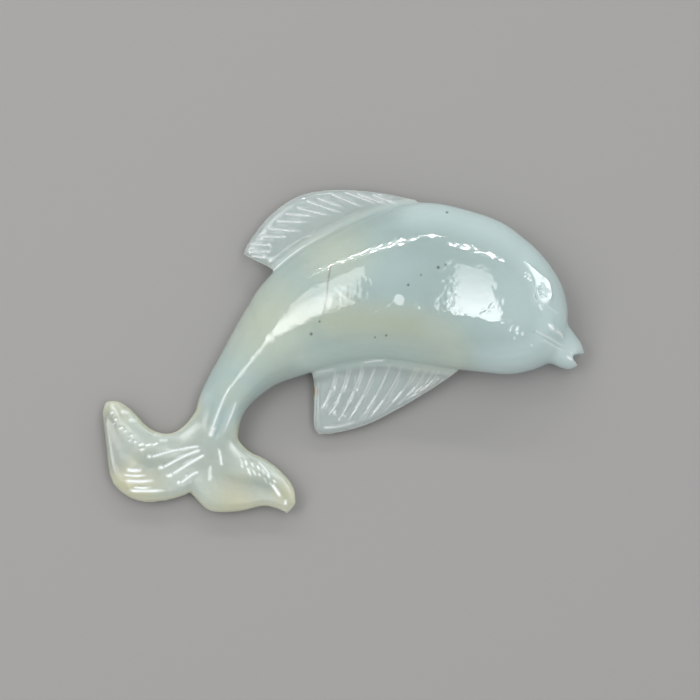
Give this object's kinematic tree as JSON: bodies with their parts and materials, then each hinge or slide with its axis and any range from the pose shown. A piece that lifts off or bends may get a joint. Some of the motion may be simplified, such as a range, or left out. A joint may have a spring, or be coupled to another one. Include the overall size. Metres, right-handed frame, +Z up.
{
  "type": "carved stone dolphin",
  "caption": "Small leaping dolphin carved from pale translucent stone, with a domed front, a flat polished back, one dorsal fin, one flipper and fanned tail flukes.",
  "frame": {"origin": "middle of the plan outline, at the level of the flat back that lies on the table", "axes": "+X from the tail towards the head, +Y from the belly side towards the dorsal fin, +Z up from the flat back towards the domed front"},
  "size_m": [0.0484, 0.0326, 0.0093],
  "materials": {
    "stone_body": "polished, milky blue-green, translucent",
    "stone_fin": "polished, thin and almost clear, cut with ray grooves",
    "stone_fluke": "polished, warm grey-green, translucent, cut with fan grooves"
  },
  "bodies": {
    "root": {"head": "stone_body", "upper_beak": "stone_body", "lower_beak": "stone_body", "eye": "stone_body", "trunk": "stone_body", "tail_stock": "stone_body", "dorsal_fin": "stone_fin", "flipper": "stone_fin", "left_fluke": "stone_fluke", "right_fluke": "stone_fluke"}
  },
  "joints": []
}
